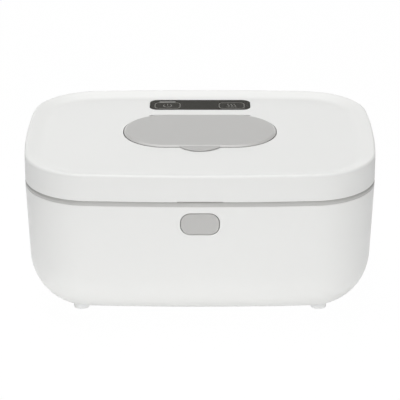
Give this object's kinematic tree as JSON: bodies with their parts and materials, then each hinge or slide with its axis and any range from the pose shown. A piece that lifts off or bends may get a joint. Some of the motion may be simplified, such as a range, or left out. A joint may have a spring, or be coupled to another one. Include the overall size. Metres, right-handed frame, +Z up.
{
  "type": "baby wipe warmer",
  "caption": "Rounded white wipe warmer on small feet, with a rear-hinged lid, a sprung front release button, a touch strip and a grey flip-up dispensing flap.",
  "frame": {"origin": "on the table, in the middle of the four feet, under the middle of the body", "axes": "+Z up, -Y towards the front with the release button, +X to the right of someone facing the front"},
  "size_m": [0.22, 0.1671, 0.1023],
  "materials": {
    "white_plastic": "satin white ABS",
    "tub_plastic": "matt white polypropylene",
    "grey_plastic": "satin light grey ABS",
    "dark_window": "smoked gloss acrylic",
    "clear_plastic": "frosted acrylic",
    "foot_rubber": "milky white rubber",
    "silicone": "pale silicone",
    "steel": "zinc plated steel",
    "aluminium": "plain sheet aluminium",
    "heater_film": "amber polyimide film",
    "foam": "grey closed-cell foam",
    "black_plastic": "black moulded plastic",
    "board_green": "green circuit board",
    "wire_black": "black PVC sleeve",
    "wire_red": "red silicone sleeve"
  },
  "bodies": {
    "base": {"base_shell": "white_plastic", "bottom_cover": "white_plastic", "cover_screws": "steel", "front_left_foot": "foot_rubber", "front_right_foot": "foot_rubber", "rear_left_foot": "foot_rubber", "rear_right_foot": "foot_rubber", "trim_ring": "grey_plastic", "inner_tub": "tub_plastic", "heating_plate": "aluminium", "heater_film": "heater_film", "temperature_sensor": "black_plastic", "thermal_fuse": "black_plastic", "insulation_pad": "foam", "heater_tray": "tub_plastic", "tray_screws": "steel", "power_board": "board_green", "board_parts": "black_plastic", "board_plugs": "tub_plastic", "power_inlet": "black_plastic", "inlet_nut": "steel", "inlet_lead": "wire_black", "lid_cable_lower": "wire_black", "heater_leads": "wire_red", "hinge_pins": "steel", "hinge_springs": "steel", "button_guide": "tub_plastic", "guide_screws": "steel", "button_spring": "steel"},
    "button": {"release_button": "grey_plastic"},
    "lid": {"lid_shell": "white_plastic", "lid_liner": "tub_plastic", "lid_screws": "steel", "lid_seal": "silicone", "dispensing_mouth": "grey_plastic", "lid_catch": "grey_plastic", "touch_window": "dark_window", "light_guide": "clear_plastic", "touch_board": "board_green", "key_springs": "steel", "lid_cable_upper": "wire_black", "flap_pins": "steel"},
    "flap": {"flap_cover": "grey_plastic", "flap_seal": "silicone"}
  },
  "joints": [
    {"name": "lid_hinge", "type": "hinge", "parent": "base", "child": "lid", "pos_m": [0, 0.0837, 0.08395], "axis": [-1, 0, 0], "range_deg": [0, 100], "deforming": ["hinge_springs", "lid_catch"]},
    {"name": "flap_hinge", "type": "hinge", "parent": "lid", "child": "flap", "pos_m": [0, 0.0338, 0.0987], "axis": [-1, 0, 0], "range_deg": [0, 100]},
    {"name": "button_press", "type": "slide", "parent": "base", "child": "button", "axis": [0, 1, 0], "range_m": [0, 0.002], "stiffness_N_per_m": 600, "springref_m": -0.0015, "deforming": ["button_spring"]}
  ]
}
